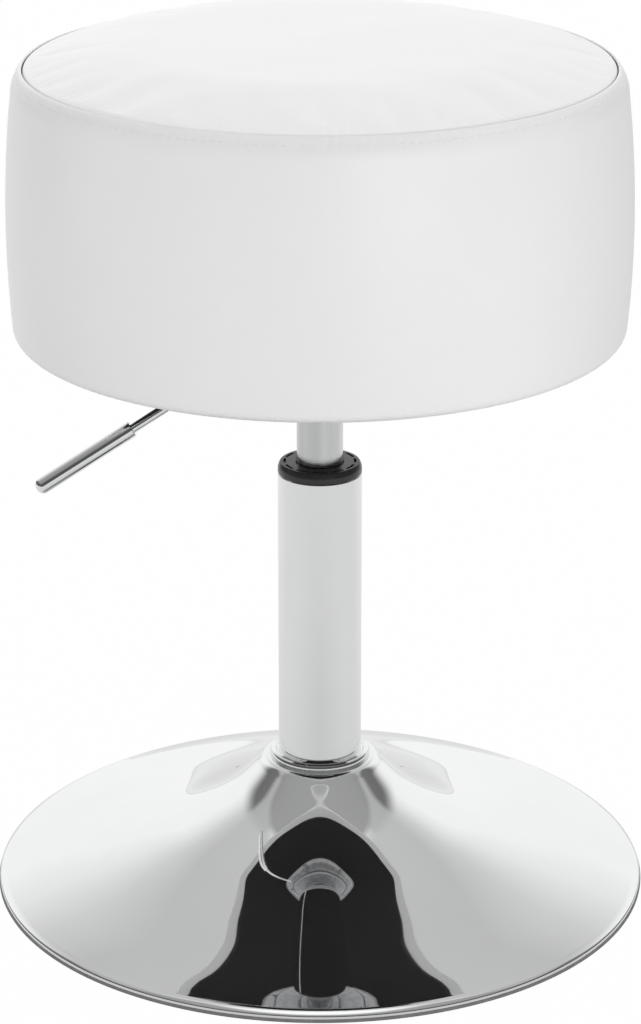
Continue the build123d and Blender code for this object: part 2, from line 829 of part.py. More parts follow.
pad_bottom = pad["shoulder"][1] + layer_gap
pad_rim = pad["seam"][0] - seam_gap
with BuildPart() as top_pad:
    with BuildSketch(Plane.XZ):
        with BuildLine():
            Polyline(
                crown_point(0, pad_gap),
                (0, top_board_top + layer_gap),
                (board_radius, top_board_top + layer_gap),
                (board_radius, pad_bottom),
                (pad["shoulder"][0] - layer_gap, pad_bottom),
            )
            ThreePointArc(
                (pad["shoulder"][0] - layer_gap, pad_bottom),
                (pad["turn"][0] - layer_gap, pad["turn"][1]),
                crown_point(pad_rim, pad_gap),
            )
            ThreePointArc(
                crown_point(pad_rim, pad_gap),
                crown_point(pad_rim / 2, pad_gap),
                crown_point(0, pad_gap),
            )
        make_face()
    revolve(axis=Axis.Z)

# Top cover: crowned disc of the same faux leather, sewn to the side cover at the seam.
crown_rim = lining["seam"][0] - seam_gap
with BuildPart() as top_cover:
    with BuildSketch(Plane.XZ):
        with BuildLine():
            ThreePointArc(crown_point(0, 0), crown_point(crown_rim / 2, 0), crown_point(crown_rim, 0))
            Line(crown_point(crown_rim, 0), crown_point(crown_rim, cover_sheet))
            ThreePointArc(
                crown_point(crown_rim, cover_sheet),
                crown_point(crown_rim / 2, cover_sheet),
                crown_point(0, cover_sheet),
            )
            Line(crown_point(0, cover_sheet), crown_point(0, 0))
        make_face()
    revolve(axis=Axis.Z)

pieces = {
    "floor_ring": floor_ring,
    "base_plate": base_plate,
    "socket_screws": socket_screws,
    "base_shell": base_shell,
    "set_screws": set_screws,
    "column_socket": column_socket,
    "neck_ring": neck_ring,
    "column_tube": column_tube,
    "guide_bush": guide_bush,
    "rod_seat": rod_seat,
    "lower_bearing_washer": lower_bearing_washer,
    "bearing_balls": bearing_balls,
    "ball_cage": ball_cage,
    "upper_bearing_washer": upper_bearing_washer,
    "retaining_washer": retaining_washer,
    "retaining_clip": retaining_clip,
    "piston_rod": piston_rod,
    "bump_stop": bump_stop,
    "piston": piston,
    "piston_seal": piston_seal,
    "piston_nut": piston_nut,
    "pressure_tube": pressure_tube,
    "rod_gland": rod_gland,
    "gland_seal": gland_seal,
    "valve_body": valve_body,
    "valve_pin": valve_pin,
    "plate_hub": plate_hub,
    "plate_washers": plate_washers,
    "plate_bolts": plate_bolts,
    "tee_nuts": tee_nuts,
    "seat_plate": seat_plate,
    "pivot_pin": pivot_pin,
    "lever_bracket": lever_bracket,
    "lever_rod": lever_rod,
    "lever_grip": lever_grip,
    "dust_cover": dust_cover,
    "cover_staples": cover_staples,
    "hoop_screws": hoop_screws,
    "bottom_board": bottom_board,
    "top_board": top_board,
    "drum_hoop": drum_hoop,
    "side_cover": side_cover,
    "side_foam": side_foam,
    "top_pad": top_pad,
    "top_cover": top_cover,
}
for name, piece in pieces.items():
    piece.part.label = name
    export_step(piece.part, f"parts/{name}.step")
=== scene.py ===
"""Looks of the low swivel stool: chrome trumpet base, gas lift and a white padded drum seat."""

from math import atan2, cos, degrees, hypot, pi, radians, sin, sqrt, tan

import bmesh
import bpy
import numpy as np
from mathutils import Matrix, Vector, noise


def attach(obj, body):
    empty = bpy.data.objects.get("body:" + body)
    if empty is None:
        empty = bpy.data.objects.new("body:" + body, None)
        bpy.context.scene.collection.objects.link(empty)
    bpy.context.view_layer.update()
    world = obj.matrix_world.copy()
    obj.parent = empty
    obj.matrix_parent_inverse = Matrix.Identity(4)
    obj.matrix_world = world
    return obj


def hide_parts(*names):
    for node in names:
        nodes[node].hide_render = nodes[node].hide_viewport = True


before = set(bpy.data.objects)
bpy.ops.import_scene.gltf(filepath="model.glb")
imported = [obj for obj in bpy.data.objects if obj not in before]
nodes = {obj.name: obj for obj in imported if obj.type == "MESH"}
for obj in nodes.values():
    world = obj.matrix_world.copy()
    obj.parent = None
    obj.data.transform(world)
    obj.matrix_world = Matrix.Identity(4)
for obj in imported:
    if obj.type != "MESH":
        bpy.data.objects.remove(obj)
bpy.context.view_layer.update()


# Floor ring: soft grey PVC moulding that the base stands on. It is pushed round the edge
# of the base plate and shows as a thin line under the chrome rim; grooves grip the floor.
# Sections are (radius, height) points in millimetres, here and in all the pieces below.

ring_steps = 192
ring_easing = 0.25
ring_section = [
    (181.6, 0), (185.5, 0), (186.2, 0.8), (188.2, 0.8), (188.9, 0),
    (192.0, 0), (192.7, 0.8), (194.7, 0.8), (195.4, 0),
    (201.4, 0), (201.8, 0.5), (201.8, 1.8), (201.5, 2.2),
    (187.6, 2.2), (187.6, 1.5), (181.6, 1.5),
]


class Socket:
    """An output among a material's nodes. Arithmetic on it adds Math nodes."""

    def __init__(self, tree, output):
        self.tree = tree
        self.output = output

    def node(self, kind, settings, inputs, output=0):
        """Adds a node, makes its settings, feeds its inputs and gives one of its outputs."""
        added = self.tree.nodes.new(kind)
        for name, value in settings.items():
            if name == "stops":
                elements = added.color_ramp.elements
                while len(elements) < len(value):
                    elements.new(1.0)
                for element, (position, colour) in zip(elements, value):
                    element.position = position
                    element.color = colour
            else:
                setattr(added, name, value)
        for name, value in inputs.items():
            if isinstance(value, Socket):
                self.tree.links.new(value.output, added.inputs[name])
            else:
                added.inputs[name].default_value = value
        return Socket(self.tree, added.outputs[output]) if added.outputs else None

    def math(self, operation, first, second):
        return self.node("ShaderNodeMath", {"operation": operation}, {0: first, 1: second})

    def __add__(self, other):
        return self.math("ADD", self, other)

    def __mul__(self, other):
        return self.math("MULTIPLY", self, other)

    __radd__ = __add__
    __rmul__ = __mul__


def new_material(name):
    """An empty material, and the Object coordinates that its patterns read."""
    material = bpy.data.materials.new(name)
    material.use_nodes = True
    material.node_tree.nodes.clear()
    place = material.node_tree.nodes.new("ShaderNodeTexCoord")
    return material, Socket(material.node_tree, place.outputs["Object"])


def surface(place, inputs):
    """Ends a material with a Principled shader that has these inputs."""
    shader = place.node("ShaderNodeBsdfPrincipled", {}, inputs)
    place.node("ShaderNodeOutputMaterial", {}, {"Surface": shader})


def mottle(place, scale, detail=3.0):
    """Soft noise from 0 to 1, its cells about 1/scale metres wide."""
    return place.node(
        "ShaderNodeTexNoise", {}, {"Vector": place, "Scale": scale, "Detail": detail}
    )


def shades(factor, dark, light):
    """A colour that runs from dark to light with the factor's middle half."""
    stops = [(0.25, (*dark, 1)), (0.75, (*light, 1))]
    return factor.node("ShaderNodeValToRGB", {"stops": stops}, {"Fac": factor})


def relief(height, depth):
    """A bumped normal; depth in metres."""
    return height.node(
        "ShaderNodeBump", {}, {"Strength": 1.0, "Distance": depth, "Height": height}
    )


def turn_by(shape, azimuth):
    """Turns a shape about the Z axis, by degrees."""
    turn = Matrix.Rotation(radians(azimuth), 3, "Z")
    bmesh.ops.rotate(shape, verts=shape.verts, cent=(0, 0, 0), matrix=turn)


def copies_round(shape, count, azimuth):
    """Repeats a shape round the Z axis, the first copy turned to the azimuth."""
    turn_by(shape, azimuth)
    bmesh.ops.spin(
        shape, geom=shape.verts[:] + shape.edges[:] + shape.faces[:], cent=(0, 0, 0),
        axis=(0, 0, 1), angle=2 * pi * (count - 1) / count, steps=count - 1, use_duplicate=True,
    )
    return shape


sectors = 8
same_place = 1e-6


def turned(section, steps, closed=True):
    """A section turned on the Z axis, one sector first and then its copies."""
    shape = bmesh.new()
    points = [shape.verts.new((radius / 1000, 0, height / 1000)) for radius, height in section]
    ends = points[1:] + points[:1] if closed else points[1:]
    edges = [shape.edges.new(pair) for pair in zip(points, ends)]
    bmesh.ops.spin(
        shape, geom=points + edges, cent=(0, 0, 0), axis=(0, 0, 1),
        angle=2 * pi / sectors, steps=steps // sectors,
    )
    copies_round(shape, sectors, azimuth=0)
    bmesh.ops.remove_doubles(shape, verts=shape.verts, dist=same_place)
    bmesh.ops.recalc_face_normals(shape, faces=shape.faces)
    return shape


edge_angle = radians(30)
crease_angle = radians(40)


def eased(shape, width, segments=2):
    """Rounds the sharp edges of a shape by a small width in millimetres."""
    sharp = [
        edge for edge in shape.edges if edge.is_manifold and edge.calc_face_angle() > edge_angle
    ]
    bmesh.ops.bevel(
        shape, geom=sharp, offset=width / 1000, affect="EDGES", segments=segments, profile=0.5,
        material=-1, clamp_overlap=True,
    )
    return shape


def piece(name, shape, material):
    """Makes a shape a smooth object with its finish."""
    mesh = bpy.data.meshes.new(name)
    shape.to_mesh(mesh)
    shape.free()
    mesh.shade_smooth()
    mesh.set_sharp_from_angle(angle=crease_angle)
    mesh.materials.append(material)
    made = bpy.data.objects.new(name, mesh)
    bpy.context.scene.collection.objects.link(made)
    return made


def hard_piece(name, shape, material):
    """A piece whose flat faces keep flat reflections beside its rounded edges."""
    made = piece(name, shape, material)
    made.modifiers.new("flat faces", "WEIGHTED_NORMAL").keep_sharp = True
    return made


pvc, place = new_material("grey pvc")
scuffs = mottle(place, 120)
surface(place, {
    "Base Color": shades(scuffs, (0.16, 0.16, 0.16), (0.22, 0.22, 0.22)),
    "Roughness": 0.5 + 0.2 * scuffs,
    "Normal": relief(mottle(place, 2500), 0.00004),
})

shape = eased(turned(ring_section, ring_steps), ring_easing)
floor_ring = hard_piece("pvc_floor_ring", shape, pvc)
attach(floor_ring, "base")
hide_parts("floor_ring")


# Base plate and column socket: a flat steel disc, painted black, weights the foot. Four
# countersunk screws come up through it and hold the turned socket of the column.


def dress(material, *names):
    """Gives CAD nodes their finish."""
    for name in names:
        nodes[name].data.materials.clear()
        nodes[name].data.materials.append(material)


black_paint, place = new_material("black paint")
peel = mottle(place, 900, 2.0)
surface(place, {
    "Base Color": shades(mottle(place, 30), (0.016, 0.016, 0.016), (0.024, 0.024, 0.024)),
    "Roughness": 0.38 + 0.2 * peel,
    "Normal": relief(peel, 0.00005),
})
dress(black_paint, "base_plate")

zinc, place = new_material("zinc plated steel")
spangle = place.node("ShaderNodeTexVoronoi", {}, {"Vector": place, "Scale": 260.0}, "Color")
spangle = place.node("ShaderNodeSeparateColor", {}, {"Color": spangle})
surface(place, {
    "Base Color": shades(spangle, (0.38, 0.385, 0.39), (0.48, 0.48, 0.485)),
    "Metallic": 1.0,
    "Roughness": 0.3 + 0.18 * spangle,
})
dress(zinc, "socket_screws", "column_socket", "set_screws")


# Base shell: a trumpet spun from steel sheet and chromed. It has a flat mouth under the
# neck ring and a long flare, and its edge is rolled down to stand on the floor ring.


def arc(centre, radius, start, end, count):
    """Points on an arc of a section, from the start angle to the end angle in degrees."""
    return [
        (centre[0] + radius * cos(angle), centre[1] + radius * sin(angle))
        for angle in np.radians(np.linspace(start, end, count))
    ]


shell_wall = 1.3
shell_steps = 96
shell_mouth = [(25.8, 79.5), (30.5, 79.5), (32.9, 79.5), (34.1, 79.3), (35.0, 78.8)]
shell_flare = [
    (36.2, 77.73), (38.0, 75.88), (40.0, 73.84), (46.5, 67.38), (54.0, 60.21), (63.0, 52.68),
    (73.0, 45.74), (83.0, 39.83), (92.0, 35.26), (101.0, 31.65), (114.0, 27.45), (132.0, 22.4),
    (150.0, 18.0), (168.0, 13.94), (180.0, 11.21), (188.0, 9.21), (193.0, 7.87),
]
shell_rim = [
    *arc((194.34, -0.773), 8, 74.6, 62, 3),
    *arc((191.522, -6.07), 14, 59, 50, 4),
    *arc((199.3, 3.2), 1.9, 39, 0, 5),
    (201.2, 2.7), (201.2, 2.2),
]

chrome, place = new_material("polished chrome")
buffing = mottle(place, 35)
surface(place, {
    "Base Color": shades(buffing, (0.88, 0.885, 0.89), (0.9, 0.905, 0.91)),
    "Metallic": 1.0,
    "Roughness": 0.015 + 0.025 * buffing,
})


def through(stations, steps):
    """Control points whose subdivided and turned surface passes through the stations."""
    weights = np.eye(len(stations))
    for row in range(1, len(stations) - 1):
        weights[row, row - 1:row + 2] = 1 / 6, 2 / 3, 1 / 6
    controls = np.linalg.solve(weights, np.array(stations))
    controls[:, 0] *= 3 / (2 + cos(2 * pi / steps))
    return controls


def subdivided(made, levels):
    """Adds a Subdivision Surface that is the same in the view and the render."""
    smoother = made.modifiers.new("smooth sheet", "SUBSURF")
    smoother.levels = smoother.render_levels = levels


def walled(made, thickness, side):
    """Gives a sheet its thickness, in millimetres, along its normals or, at -1, against them."""
    wall = made.modifiers.new("sheet wall", "SOLIDIFY")
    wall.thickness = thickness / 1000
    wall.offset = side


controls = through(shell_mouth + shell_flare + shell_rim, shell_steps)
base_shell = piece("chrome_base_shell", turned(controls, shell_steps, closed=False), chrome)
subdivided(base_shell, levels=2)
walled(base_shell, shell_wall, side=-1)
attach(base_shell, "base")
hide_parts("base_shell")


# Neck ring: chromed collar pressed round the column to hide the joint with the shell. Its
# rounded bead drops off towards the column and stands on a thin foot under its outer lip.

neck_steps = 128
neck_easing = 0.35
neck_section = [
    (25.52, 79.5), (30.5, 79.5), (30.5, 80.0), (29.9, 80.2), (29.9, 80.5), (30.9, 80.8),
    (30.9, 81.9), (30.2, 83.2), (29.0, 83.8), (28.0, 83.7), (27.2, 82.9), (26.4, 82.2),
    (25.52, 82.2),
]
shape = eased(turned(neck_section, neck_steps), neck_easing, segments=3)
neck_ring = hard_piece("chrome_neck_ring", shape, chrome)
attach(neck_ring, "base")
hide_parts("neck_ring")


# Column: chromed steel tube, polished round. It stands in the socket, and its cut end is
# chamfered under the flange of the guide bush.

column_steps = 160
column_easing = 0.25
column_section = [(23.5, 20), (25.5, 20), (25.5, 265.1), (24.9, 265.9), (23.5, 265.9)]
shape = eased(turned(column_section, column_steps), column_easing)
column = hard_piece("chrome_column", shape, chrome)
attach(column, "base")
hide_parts("column_tube")


# Guide bush: moulded black plastic plug in the column's mouth. Its sleeve guides the gas
# lift; its flange has a sloped edge and a ring of moulding slots just inside it.

bush_top = 272.2
bush_easing = 0.15
slot_count = 12
slot_pitch = 360 / slot_count
slot_faces = 8
slot_radii = (20.6, 22.1)
slot_half_angle = 11.0
slot_depth = 1.2
bush_section = [
    (14.05, 190.9), (23.4, 190.9), (23.4, 265.9), (25.5, 265.9), (25.5, 268.4), (25.4, 269.2),
    (25.1, 270.2), (24.6, 271.4), (24.2, 272.0), (23.7, bush_top), (slot_radii[1], bush_top),
    (slot_radii[0], bush_top), (15.15, bush_top), (14.05, bush_top - 1.1),
]

black_plastic, place = new_material("black plastic")
spark = mottle(place, 1800, 2.0)
surface(place, {
    "Base Color": shades(spark, (0.016, 0.016, 0.017), (0.026, 0.026, 0.027)),
    "Roughness": 0.2 + 0.12 * spark,
    "Normal": relief(spark, 0.00002),
})


def verts_of(made):
    """The vertices among what an operator made."""
    return [item for item in made if isinstance(item, bmesh.types.BMVert)]


shape = turned(bush_section, slot_count * slot_faces)
slots = []
for face in shape.faces:
    middle = face.calc_center_median() * 1000
    on_top = abs(middle.z - bush_top) < 0.01
    in_ring = slot_radii[0] < hypot(middle.x, middle.y) < slot_radii[1]
    off_slot = (degrees(atan2(middle.y, middle.x)) + slot_pitch / 2) % slot_pitch - slot_pitch / 2
    if on_top and in_ring and abs(off_slot) < slot_half_angle:
        slots.append(face)
sunk = verts_of(bmesh.ops.extrude_face_region(shape, geom=slots)["geom"])
bmesh.ops.translate(shape, verts=sunk, vec=(0, 0, -slot_depth / 1000))
bmesh.ops.delete(shape, geom=slots, context="FACES")
guide_bush = hard_piece("plastic_guide_bush", eased(shape, bush_easing), black_plastic)
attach(guide_bush, "base")
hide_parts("guide_bush")


# Thrust bearing and gas lift inside the column: steel washers and balls in a brass cage, a
# ground rod, an alloy piston and gland with rubber seals. None of it shows when built.


def stretched(place, *scale):
    """Coordinates for a pattern that is closer along some axes than along others."""
    return place.node("ShaderNodeMapping", {}, {"Vector": place, "Scale": scale})


def bare_metal(name, dark, light, scale, stretch, least, spread):
    """A metal with a fine lay, its roughness from the least to that plus the spread."""
    metal, place = new_material(name)
    lay = mottle(stretched(place, *stretch), scale)
    surface(place, {
        "Base Color": shades(lay, dark, light),
        "Metallic": 1.0,
        "Roughness": least + spread * lay,
    })
    return metal


ground_steel = bare_metal(
    "ground steel", dark=(0.5, 0.5, 0.51), light=(0.6, 0.6, 0.61),
    scale=40, stretch=(1.0, 1.0, 60.0), least=0.16, spread=0.12,
)
brass = bare_metal(
    "turned brass", dark=(0.66, 0.49, 0.21), light=(0.76, 0.6, 0.3),
    scale=400, stretch=(1.0, 1.0, 1.0), least=0.22, spread=0.15,
)
alloy = bare_metal(
    "turned alloy", dark=(0.66, 0.67, 0.68), light=(0.76, 0.77, 0.78),
    scale=500, stretch=(1.0, 1.0, 1.0), least=0.3, spread=0.15,
)

rubber, place = new_material("black rubber")
bloom = mottle(place, 300)
surface(place, {
    "Base Color": shades(bloom, (0.014, 0.014, 0.014), (0.026, 0.026, 0.026)),
    "Roughness": 0.65 + 0.2 * bloom,
})

dress(zinc, "rod_seat", "lower_bearing_washer", "upper_bearing_washer")
dress(zinc, "retaining_washer", "retaining_clip")
dress(ground_steel, "piston_rod", "bearing_balls", "piston_nut", "valve_pin")
dress(brass, "ball_cage", "valve_body")
dress(alloy, "piston", "rod_gland")
dress(rubber, "bump_stop", "piston_seal", "gland_seal")


# Pressure tube: the outer tube of the gas lift, ground round and hard chromed. It slides in
# the guide bush, and its tapered head sits in the hub of the seat plate.

tube_steps = 128
tube_easing = 0.3
tube_section = [
    (9, 46.6), (14, 46.6), (14, 316), (13.293, 343), (9, 343), (9, 341.4),
    (12, 341.4), (12, 48.2), (9, 48.2),
]

ground_chrome, place = new_material("ground chrome")
rings = mottle(stretched(place, 20.0, 20.0, 4200.0), 1.0, 2.0)
streaks = mottle(stretched(place, 110.0, 110.0, 1.5), 1.0, 1.0)
surface(place, {
    "Base Color": shades(streaks, (0.58, 0.585, 0.59), (0.74, 0.745, 0.75)),
    "Metallic": 1.0,
    "Roughness": 0.16 + 0.06 * streaks,
    "Normal": relief(rings, 0.00004),
})

shape = eased(turned(tube_section, tube_steps), tube_easing)
pressure_tube = hard_piece("chrome_pressure_tube", shape, ground_chrome)
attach(pressure_tube, "seat")
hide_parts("pressure_tube")


# Seat plate and hub: a cup with a flange pressed from zinc plated sheet, cut out for the
# lever, and a steel sleeve with a tapered bore welded into the cup's floor.

lever_azimuth = 188.0
plate_steps = 80
plate_step_angle = 360 / plate_steps
plate_sheet = 2.5
cutout_heights = (332.0, 346.6)
cup_floor = 322.0
hub_radius = 19.0
plate_section = [
    (69, 353.2), (60, 353.2), *arc((51.5, 351.7), 1.5, 90, 180, 4),
    (50, cutout_heights[1]), (50, cutout_heights[0]), *arc((43.5, 328.5), 6.5, 0, -90, 7),
    (31, cup_floor), (hub_radius, cup_floor),
]

shape = turned(plate_section, plate_steps, closed=False)
turn_by(shape, lever_azimuth % plate_step_angle)
lever_way = Vector((cos(radians(lever_azimuth)), sin(radians(lever_azimuth))))
cutout = []
for face in shape.faces:
    middle = face.calc_center_median()
    at_height = cutout_heights[0] < middle.z * 1000 < cutout_heights[1]
    if at_height and middle.xy.normalized().dot(lever_way) > cos(radians(plate_step_angle)):
        cutout.append(face)
bmesh.ops.delete(shape, geom=cutout, context="FACES")
bmesh.ops.recalc_face_normals(shape, faces=shape.faces)
seat_plate = piece("zinc_seat_plate", shape, zinc)
walled(seat_plate, plate_sheet, side=1)
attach(seat_plate, "seat")
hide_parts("seat_plate")

hub_steps = 96
hub_easing = 0.6
hub_section = [(13.98, 318), (hub_radius, 318), (hub_radius, 343), (13.33, 343)]
shape = eased(turned(hub_section, hub_steps), hub_easing, segments=3)
plate_hub = hard_piece("steel_plate_hub", shape, zinc)
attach(plate_hub, "seat")
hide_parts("plate_hub")

weld_bead = 2.0
weld_ripples = 40
ripple_steps = 4
ripple_height = 0.12
weld_root = (hub_radius, cup_floor)
weld_section = [*arc(weld_root, weld_bead, -90, 0, 5), weld_root]
shape = turned(weld_section, ripple_steps * weld_ripples)
for vertex in shape.verts:
    ripple = ripple_height * cos(weld_ripples * atan2(vertex.co.y, vertex.co.x)) / 1000
    vertex.co.z -= ripple
plate_weld = piece("steel_plate_weld", shape, zinc)
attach(plate_weld, "seat")


# Bolts and washers: four zinc plated hexagon bolts, each on a washer, hold the seat plate
# up against the bottom board, where their threads run into tee nuts.

bolt_circle = 61.0
bolt_count = 4
bolt_azimuth = lever_azimuth + 45
head_sides = 6
head_radius = 5.6
head_heights = (348.0, 352.0)
head_easing = 0.45
shank_sides = 20
shank_radius = 3.0
shank_top = 374.35
washer_radii = (3.1, 6.6)
washer_top = 353.2
washer_steps = 40
washer_easing = 0.25


def at(x, z):
    """A move to a place in the plane of X and Z, in millimetres."""
    return Matrix.Translation((x / 1000, 0, z / 1000))


def add_cylinder(shape, sides, radius, length, matrix):
    """Adds an upright cylinder, in millimetres, about the place that the matrix gives."""
    bmesh.ops.create_cone(
        shape, cap_ends=True, segments=sides, radius1=radius / 1000, radius2=radius / 1000,
        depth=length / 1000, matrix=matrix,
    )


low, high = head_heights
shape = bmesh.new()
head_middle = at(bolt_circle, (low + high) / 2)
add_cylinder(shape, head_sides, head_radius, high - low, head_middle)
eased(shape, head_easing)
shank_middle = at(bolt_circle, (shank_top + high) / 2)
add_cylinder(shape, shank_sides, shank_radius, shank_top - high, shank_middle)
copies_round(shape, bolt_count, bolt_azimuth)
plate_bolts = hard_piece("zinc_plate_bolts", shape, zinc)
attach(plate_bolts, "seat")
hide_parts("plate_bolts")

inner, outer = washer_radii
washer_section = [(inner, high), (outer, high), (outer, washer_top), (inner, washer_top)]
shape = eased(turned(washer_section, washer_steps), washer_easing)
bmesh.ops.translate(shape, verts=shape.verts, vec=(bolt_circle / 1000, 0, 0))
copies_round(shape, bolt_count, bolt_azimuth)
plate_washers = hard_piece("zinc_plate_washers", shape, zinc)
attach(plate_washers, "seat")
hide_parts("plate_washers")
dress(zinc, "tee_nuts", "pivot_pin", "lever_bracket")


# Release lever: a chromed steel rod with two bends, hung on a pin in the cup so that its
# inner end presses the valve button, and a chromed sleeve with a domed end as its grip.

rod_sides = 32
rod_radius = 3.0
bend_radius = 9.0
bend_steps = 5
pivot_place = (36.0, 345.3)
boss_sides = 24
boss_radius = 5.2
boss_width = 6.4
rod_corners = [(-5.0, 350.8), (15.0, 350.8), pivot_place, (165.86, 265.72)]
place_lever = Matrix.Rotation(radians(lever_azimuth), 4, "Z")


def ring_of(made):
    """The edges and vertices of the newest ring that an operator made."""
    verts = verts_of(made)
    edges = [item for item in made if isinstance(item, bmesh.types.BMEdge)]
    return [edge for edge in edges if set(verts).issuperset(edge.verts)], verts


def open_edges(shape):
    """The edges round the holes of a shape."""
    return [edge for edge in shape.edges if edge.is_boundary]


shape = bmesh.new()
bmesh.ops.create_circle(
    shape, segments=rod_sides, radius=rod_radius / 1000,
    matrix=at(*rod_corners[0]) @ Matrix.Rotation(pi / 2, 4, "Y"),
)
edges, verts = shape.edges[:], shape.verts[:]
runs = [Vector((b[0] - a[0], 0, b[1] - a[1])) for a, b in zip(rod_corners, rod_corners[1:])]
spent = 0
for number, run in enumerate(runs):
    way = run.normalized()
    angle = way.angle(runs[number + 1]) if number + 1 < len(runs) else 0
    cut = bend_radius * tan(angle / 2)
    edges, verts = ring_of(bmesh.ops.extrude_edge_only(shape, edges=edges)["geom"])
    bmesh.ops.translate(shape, verts=verts, vec=way * (run.length - spent - cut) / 1000)
    spent = cut
    if angle:
        centre = sum((vertex.co for vertex in verts), Vector()) / len(verts)
        centre += Vector((way.z, 0, -way.x)) * bend_radius / 1000
        edges, verts = ring_of(bmesh.ops.spin(
            shape, geom=edges + verts, cent=centre, axis=(0, 1, 0), angle=angle, steps=bend_steps
        )["geom_last"])
bmesh.ops.holes_fill(shape, edges=open_edges(shape), sides=0)
across_rod = at(*pivot_place) @ Matrix.Rotation(pi / 2, 4, "X")
add_cylinder(shape, boss_sides, boss_radius, boss_width, across_rod)
bmesh.ops.recalc_face_normals(shape, faces=shape.faces)
bmesh.ops.transform(shape, matrix=place_lever, verts=shape.verts)
lever_rod = hard_piece("chrome_lever_rod", shape, chrome)
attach(lever_rod, "lever")
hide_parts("lever_rod")

grip_steps = 64
grip_start = (112.99, 298.12)
grip_incline = 31.5
grip_section = [
    (0, 62), (3.03, 62), (3.03, 0.3), (3.4, 0), (4.65, 0), (5.0, 0.35), (5.0, 30),
    *arc((0.6, 63.6), 4.4, 0, 90, 9), (0, 68),
]
shape = turned(grip_section, grip_steps, closed=False)
along_rod = at(*grip_start) @ Matrix.Rotation(radians(90 + grip_incline), 4, "Y")
bmesh.ops.transform(shape, matrix=place_lever @ along_rod, verts=shape.verts)
lever_grip = hard_piece("chrome_lever_grip", shape, chrome)
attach(lever_grip, "lever")
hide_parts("lever_grip")


# Drum frame: two plywood boards with a hoop of bent plywood screwed round their edges.
# It carries the padding and is covered on every side.

ply = 0.0025


def along(place, axis):
    """One of the coordinates of a place."""
    return place.node("ShaderNodeSeparateXYZ", {}, {"Vector": place}, axis)


plywood, place = new_material("plywood")
across = along(place, "Z")
plies = across.math("PINGPONG", across, ply) * (1 / ply)
grain = mottle(stretched(place, 6.0, 90.0, 90.0), 3.0)
surface(place, {
    "Base Color": shades(0.6 * grain + 0.4 * plies, (0.5, 0.35, 0.2), (0.7, 0.54, 0.36)),
    "Roughness": 0.6 + 0.2 * grain,
    "Normal": relief(grain, 0.0001),
})
dress(plywood, "bottom_board", "top_board", "drum_hoop")
dress(zinc, "hoop_screws")


# Dust cover: a disc of black non-woven fabric with a folded hem, pulled flat over the
# underside of the seat and stapled to the bottom board all round with black staples.

staple_count = 28
staple_circle = 157.5
staple_size = (1.1, 10, 0.7)
staple_proud = 0.1
staple_easing = 0.2
staple_steps = 8
staple_pull = 0.25
pull_reach = 5
cover_radius = 162.5
cover_heights = (355.7, 356.5)
hem_width = 10.0
hem_step = 0.15
low, high = cover_heights
cover_section = [
    (0, low + hem_step), (70, low + hem_step), (120, low + hem_step),
    (cover_radius - hem_width - 1, low + hem_step), (cover_radius - hem_width, low),
    (staple_circle, low), (cover_radius - 0.4, low), (cover_radius, low + 0.3),
    (cover_radius - 0.3, high), (0, high),
]

fleece, place = new_material("black non-woven")
bonds = place.node(
    "ShaderNodeTexVoronoi", {}, {"Vector": place, "Scale": 700.0, "Randomness": 0.15}, "Distance"
)
fibres = mottle(place, 1500)
surface(place, {
    "Base Color": shades(fibres, (0.009, 0.009, 0.009), (0.02, 0.02, 0.02)),
    "Roughness": 0.8 + 0.15 * fibres,
    "Normal": relief(bonds + 0.4 * fibres, 0.00012),
})

shape = turned(cover_section, staple_steps * staple_count, closed=False)
for vertex in shape.verts:
    x, y, z = vertex.co
    from_row = abs(hypot(x, y) * 1000 - staple_circle) / pull_reach
    pull = max(0, 1 - from_row) * (0.5 + 0.5 * cos(staple_count * atan2(y, x)))
    if z * 1000 < (low + high) / 2:
        vertex.co.z += staple_pull * pull / 1000
dust_cover = piece("fabric_dust_cover", shape, fleece)
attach(dust_cover, "seat")
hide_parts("dust_cover")

shape = bmesh.new()
bmesh.ops.create_cube(
    shape, size=0.001,
    matrix=at(staple_circle, low - staple_proud) @ Matrix.Diagonal((*staple_size, 1)),
)
eased(shape, staple_easing)
copies_round(shape, staple_count, azimuth=0)
cover_staples = piece("steel_cover_staples", shape, black_paint)
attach(cover_staples, "seat")
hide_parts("cover_staples")


# Side cushion: a band of white faux leather over thin foam round the drum. It is wrapped
# under the bottom board, closed by an upright seam at the back, and rolled at the top seam.

stitch_count = 224
stitch_steps = 4
stitch_row = (176.2, 511.9)
channel_width = 2.0
channel_depth = 0.28
needle_depth = 0.16
gather_height = 514
gather_width = 4.5
gather_depth = 0.1
back_seam = pi / 2
seam_depth = 0.9
seam_width = 1.1
seam_lip = 0.22
lip_offset, lip_width = 3.2, 1.8
slack_depth = 0.4
band_inside = 171.6
band_heights = (358, 510)
band_fades = (20, 40)
shoulder = (155.43, 500.34)
side_section = [
    (149.8, 356.5), (160, 356.5),
    *arc((175.6, 363.5), 6.5, -90, -4.6, 10)[:-1],
    *arc((-497.94, 417.75), 682.24, -4.6, 6.94, 22)[:-1],
    *arc(shoulder, 23.87, 0, 37.5, 15),
    (173.9, 515.5), (173.4, 516.0), (172.85, 516.15), (172.4, 515.8), (172.3, 514.9),
    (173.2, 513.3),
    *arc(shoulder, 22.4, 32, 0, 5),
    (171.3, 500.2), (171.3, 366), (170, 358.2), (149.8, 357.7),
]
rng = np.random.default_rng(7)
waves = [(int(count), rng.uniform(0, 2 * pi)) for count in rng.integers(60, 180, 7)]

